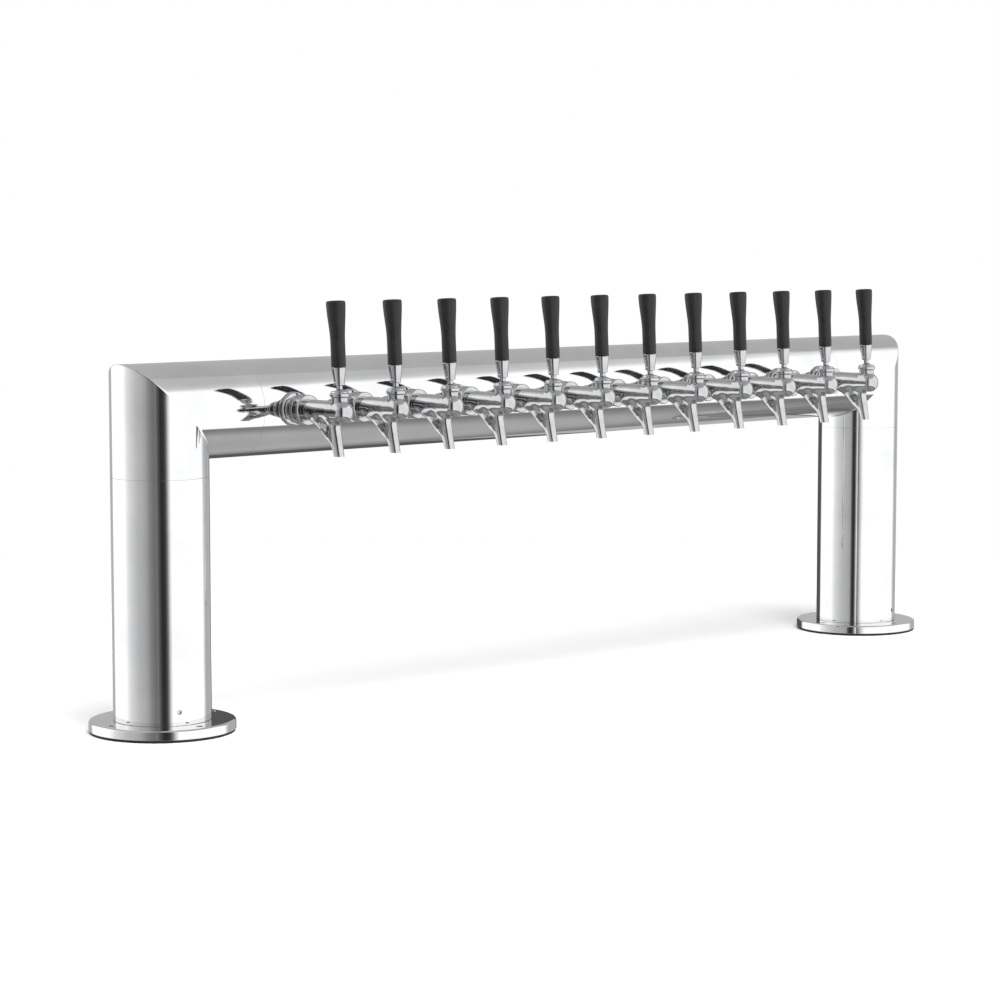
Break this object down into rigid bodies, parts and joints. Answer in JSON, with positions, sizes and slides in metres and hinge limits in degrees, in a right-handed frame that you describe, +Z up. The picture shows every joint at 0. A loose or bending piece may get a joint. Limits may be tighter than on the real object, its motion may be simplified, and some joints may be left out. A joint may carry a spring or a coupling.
{
  "type": "beer tap tower",
  "caption": "Pass-through beer tower: a level polished tube on two round columns with flanged feet, carrying a row of chrome taps with black tapered handles.",
  "frame": {"origin": "on the counter plane, midway between the two columns and midway between the front of the taps and the back of the base flanges, which is the bottom centre of the whole tower", "axes": "+X along the crossbar, -Y towards the drinker's side where the taps point and the levers are pulled, +Z up"},
  "size_m": [1.2624, 0.2172, 0.445],
  "materials": {
    "polished_stainless": "mirror-polished stainless steel with a fine lengthwise polishing grain",
    "chrome_plate": "bright chrome plate over cast and turned brass",
    "machined_stainless": "turned stainless steel",
    "black_plastic": "moulded black plastic, satin",
    "black_rubber": "flat black gasket rubber",
    "foam_jacket": "closed-cell foam insulation"
  },
  "bodies": {
    "tower": {"crossbar_tube": "polished_stainless", "shank_rail": "machined_stainless", "left_elbow": "polished_stainless", "right_elbow": "polished_stainless", "left_column": "polished_stainless", "right_column": "polished_stainless", "left_base_flange": "polished_stainless", "right_base_flange": "polished_stainless", "left_gasket": "black_rubber", "right_gasket": "black_rubber", "left_line_trunk": "foam_jacket", "right_line_trunk": "foam_jacket", "tap_01_body": "chrome_plate", "tap_02_body": "chrome_plate", "tap_03_body": "chrome_plate", "tap_04_body": "chrome_plate", "tap_05_body": "chrome_plate", "tap_06_body": "chrome_plate", "tap_07_body": "chrome_plate", "tap_08_body": "chrome_plate", "tap_09_body": "chrome_plate", "tap_10_body": "chrome_plate", "tap_11_body": "chrome_plate", "tap_12_body": "chrome_plate"},
    "tap_01_lever_set": {"tap_01_lever": "chrome_plate", "tap_01_handle": "black_plastic"},
    "tap_01_valve": {"tap_01_valve_shaft": "machined_stainless"},
    "tap_02_lever_set": {"tap_02_lever": "chrome_plate", "tap_02_handle": "black_plastic"},
    "tap_02_valve": {"tap_02_valve_shaft": "machined_stainless"},
    "tap_03_lever_set": {"tap_03_lever": "chrome_plate", "tap_03_handle": "black_plastic"},
    "tap_03_valve": {"tap_03_valve_shaft": "machined_stainless"},
    "tap_04_lever_set": {"tap_04_lever": "chrome_plate", "tap_04_handle": "black_plastic"},
    "tap_04_valve": {"tap_04_valve_shaft": "machined_stainless"},
    "tap_05_lever_set": {"tap_05_lever": "chrome_plate", "tap_05_handle": "black_plastic"},
    "tap_05_valve": {"tap_05_valve_shaft": "machined_stainless"},
    "tap_06_lever_set": {"tap_06_lever": "chrome_plate", "tap_06_handle": "black_plastic"},
    "tap_06_valve": {"tap_06_valve_shaft": "machined_stainless"},
    "tap_07_lever_set": {"tap_07_lever": "chrome_plate", "tap_07_handle": "black_plastic"},
    "tap_07_valve": {"tap_07_valve_shaft": "machined_stainless"},
    "tap_08_lever_set": {"tap_08_lever": "chrome_plate", "tap_08_handle": "black_plastic"},
    "tap_08_valve": {"tap_08_valve_shaft": "machined_stainless"},
    "tap_09_lever_set": {"tap_09_lever": "chrome_plate", "tap_09_handle": "black_plastic"},
    "tap_09_valve": {"tap_09_valve_shaft": "machined_stainless"},
    "tap_10_lever_set": {"tap_10_lever": "chrome_plate", "tap_10_handle": "black_plastic"},
    "tap_10_valve": {"tap_10_valve_shaft": "machined_stainless"},
    "tap_11_lever_set": {"tap_11_lever": "chrome_plate", "tap_11_handle": "black_plastic"},
    "tap_11_valve": {"tap_11_valve_shaft": "machined_stainless"},
    "tap_12_lever_set": {"tap_12_lever": "chrome_plate", "tap_12_handle": "black_plastic"},
    "tap_12_valve": {"tap_12_valve_shaft": "machined_stainless"}
  },
  "joints": [
    {"name": "tap_01_pull", "type": "hinge", "parent": "tower", "child": "tap_01_lever_set", "pos_m": [-0.4191, -0.0936, 0.3482], "axis": [1, 0, 0], "range_deg": [0, 38]},
    {"name": "tap_01_valve_slide", "type": "slide", "parent": "tower", "child": "tap_01_valve", "axis": [0, 1, 0], "range_m": [0, 0.011]},
    {"name": "tap_02_pull", "type": "hinge", "parent": "tower", "child": "tap_02_lever_set", "pos_m": [-0.3429, -0.0936, 0.3482], "axis": [1, 0, 0], "range_deg": [0, 38]},
    {"name": "tap_02_valve_slide", "type": "slide", "parent": "tower", "child": "tap_02_valve", "axis": [0, 1, 0], "range_m": [0, 0.011]},
    {"name": "tap_03_pull", "type": "hinge", "parent": "tower", "child": "tap_03_lever_set", "pos_m": [-0.2667, -0.0936, 0.3482], "axis": [1, 0, 0], "range_deg": [0, 38]},
    {"name": "tap_03_valve_slide", "type": "slide", "parent": "tower", "child": "tap_03_valve", "axis": [0, 1, 0], "range_m": [0, 0.011]},
    {"name": "tap_04_pull", "type": "hinge", "parent": "tower", "child": "tap_04_lever_set", "pos_m": [-0.1905, -0.0936, 0.3482], "axis": [1, 0, 0], "range_deg": [0, 38]},
    {"name": "tap_04_valve_slide", "type": "slide", "parent": "tower", "child": "tap_04_valve", "axis": [0, 1, 0], "range_m": [0, 0.011]},
    {"name": "tap_05_pull", "type": "hinge", "parent": "tower", "child": "tap_05_lever_set", "pos_m": [-0.1143, -0.0936, 0.3482], "axis": [1, 0, 0], "range_deg": [0, 38]},
    {"name": "tap_05_valve_slide", "type": "slide", "parent": "tower", "child": "tap_05_valve", "axis": [0, 1, 0], "range_m": [0, 0.011]},
    {"name": "tap_06_pull", "type": "hinge", "parent": "tower", "child": "tap_06_lever_set", "pos_m": [-0.0381, -0.0936, 0.3482], "axis": [1, 0, 0], "range_deg": [0, 38]},
    {"name": "tap_06_valve_slide", "type": "slide", "parent": "tower", "child": "tap_06_valve", "axis": [0, 1, 0], "range_m": [0, 0.011]},
    {"name": "tap_07_pull", "type": "hinge", "parent": "tower", "child": "tap_07_lever_set", "pos_m": [0.0381, -0.0936, 0.3482], "axis": [1, 0, 0], "range_deg": [0, 38]},
    {"name": "tap_07_valve_slide", "type": "slide", "parent": "tower", "child": "tap_07_valve", "axis": [0, 1, 0], "range_m": [0, 0.011]},
    {"name": "tap_08_pull", "type": "hinge", "parent": "tower", "child": "tap_08_lever_set", "pos_m": [0.1143, -0.0936, 0.3482], "axis": [1, 0, 0], "range_deg": [0, 38]},
    {"name": "tap_08_valve_slide", "type": "slide", "parent": "tower", "child": "tap_08_valve", "axis": [0, 1, 0], "range_m": [0, 0.011]},
    {"name": "tap_09_pull", "type": "hinge", "parent": "tower", "child": "tap_09_lever_set", "pos_m": [0.1905, -0.0936, 0.3482], "axis": [1, 0, 0], "range_deg": [0, 38]},
    {"name": "tap_09_valve_slide", "type": "slide", "parent": "tower", "child": "tap_09_valve", "axis": [0, 1, 0], "range_m": [0, 0.011]},
    {"name": "tap_10_pull", "type": "hinge", "parent": "tower", "child": "tap_10_lever_set", "pos_m": [0.2667, -0.0936, 0.3482], "axis": [1, 0, 0], "range_deg": [0, 38]},
    {"name": "tap_10_valve_slide", "type": "slide", "parent": "tower", "child": "tap_10_valve", "axis": [0, 1, 0], "range_m": [0, 0.011]},
    {"name": "tap_11_pull", "type": "hinge", "parent": "tower", "child": "tap_11_lever_set", "pos_m": [0.3429, -0.0936, 0.3482], "axis": [1, 0, 0], "range_deg": [0, 38]},
    {"name": "tap_11_valve_slide", "type": "slide", "parent": "tower", "child": "tap_11_valve", "axis": [0, 1, 0], "range_m": [0, 0.011]},
    {"name": "tap_12_pull", "type": "hinge", "parent": "tower", "child": "tap_12_lever_set", "pos_m": [0.4191, -0.0936, 0.3482], "axis": [1, 0, 0], "range_deg": [0, 38]},
    {"name": "tap_12_valve_slide", "type": "slide", "parent": "tower", "child": "tap_12_valve", "axis": [0, 1, 0], "range_m": [0, 0.011]}
  ],
  "couplings": [
    {"joint": "tap_01_valve_slide", "follows": "tap_01_pull", "m_per_rad": 0.0163},
    {"joint": "tap_02_valve_slide", "follows": "tap_02_pull", "m_per_rad": 0.0163},
    {"joint": "tap_03_valve_slide", "follows": "tap_03_pull", "m_per_rad": 0.0163},
    {"joint": "tap_04_valve_slide", "follows": "tap_04_pull", "m_per_rad": 0.0163},
    {"joint": "tap_05_valve_slide", "follows": "tap_05_pull", "m_per_rad": 0.0163},
    {"joint": "tap_06_valve_slide", "follows": "tap_06_pull", "m_per_rad": 0.0163},
    {"joint": "tap_07_valve_slide", "follows": "tap_07_pull", "m_per_rad": 0.0163},
    {"joint": "tap_08_valve_slide", "follows": "tap_08_pull", "m_per_rad": 0.0163},
    {"joint": "tap_09_valve_slide", "follows": "tap_09_pull", "m_per_rad": 0.0163},
    {"joint": "tap_10_valve_slide", "follows": "tap_10_pull", "m_per_rad": 0.0163},
    {"joint": "tap_11_valve_slide", "follows": "tap_11_pull", "m_per_rad": 0.0163},
    {"joint": "tap_12_valve_slide", "follows": "tap_12_pull", "m_per_rad": 0.0163}
  ]
}
